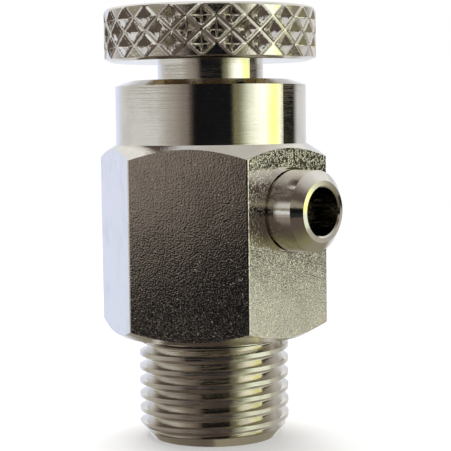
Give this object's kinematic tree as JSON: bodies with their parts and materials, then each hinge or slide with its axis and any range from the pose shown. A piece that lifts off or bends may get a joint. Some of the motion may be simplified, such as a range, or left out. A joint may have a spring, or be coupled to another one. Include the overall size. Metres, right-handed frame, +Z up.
{
  "type": "needle valve",
  "caption": "Small angle needle valve: hexagonal body, male pipe thread below, side outlet spout, and a knurled knob that screws a needle onto a plastic seat.",
  "frame": {"origin": "on the stem's axis, in the plane of the hexagon's lower shoulder, where the inlet thread begins", "axes": "+Z up the stem towards the knob, +X along the outlet spout, one hexagon face square to +X"},
  "size_m": [0.0161, 0.015, 0.0276],
  "materials": {
    "nickel_plate": "nickel-plated brass, bright and fine turned",
    "nickel_knurl": "nickel-plated brass, knurled",
    "brass": "plain turned brass",
    "stainless": "fine ground stainless steel",
    "zinc_steel": "zinc-plated steel",
    "ptfe": "white PTFE",
    "fibre": "red fibre gasket",
    "nitrile": "black nitrile rubber"
  },
  "bodies": {
    "body": {"valve_body": "nickel_plate", "outlet_spout": "nickel_plate", "seat_ring": "ptfe", "bonnet_gasket": "fibre", "bonnet_bush": "brass"},
    "seal": {"stem_o_ring": "nitrile"},
    "stem": {"spindle": "nickel_plate", "retaining_ring": "zinc_steel", "needle_tip": "stainless", "knob": "nickel_knurl", "knob_washer": "zinc_steel", "knob_screw": "zinc_steel"}
  },
  "joints": [
    {"name": "stem_rise", "type": "slide", "parent": "body", "child": "seal", "axis": [0, 0, 1], "range_m": [-0.0005, 0.00075]},
    {"name": "knob_turn", "type": "hinge", "parent": "seal", "child": "stem", "pos_m": [0, 0, 0], "axis": [0, 0, 1], "range_deg": [-360, 540]}
  ],
  "couplings": [
    {"joint": "knob_turn", "follows": "stem_rise", "rad_per_m": 12566}
  ]
}
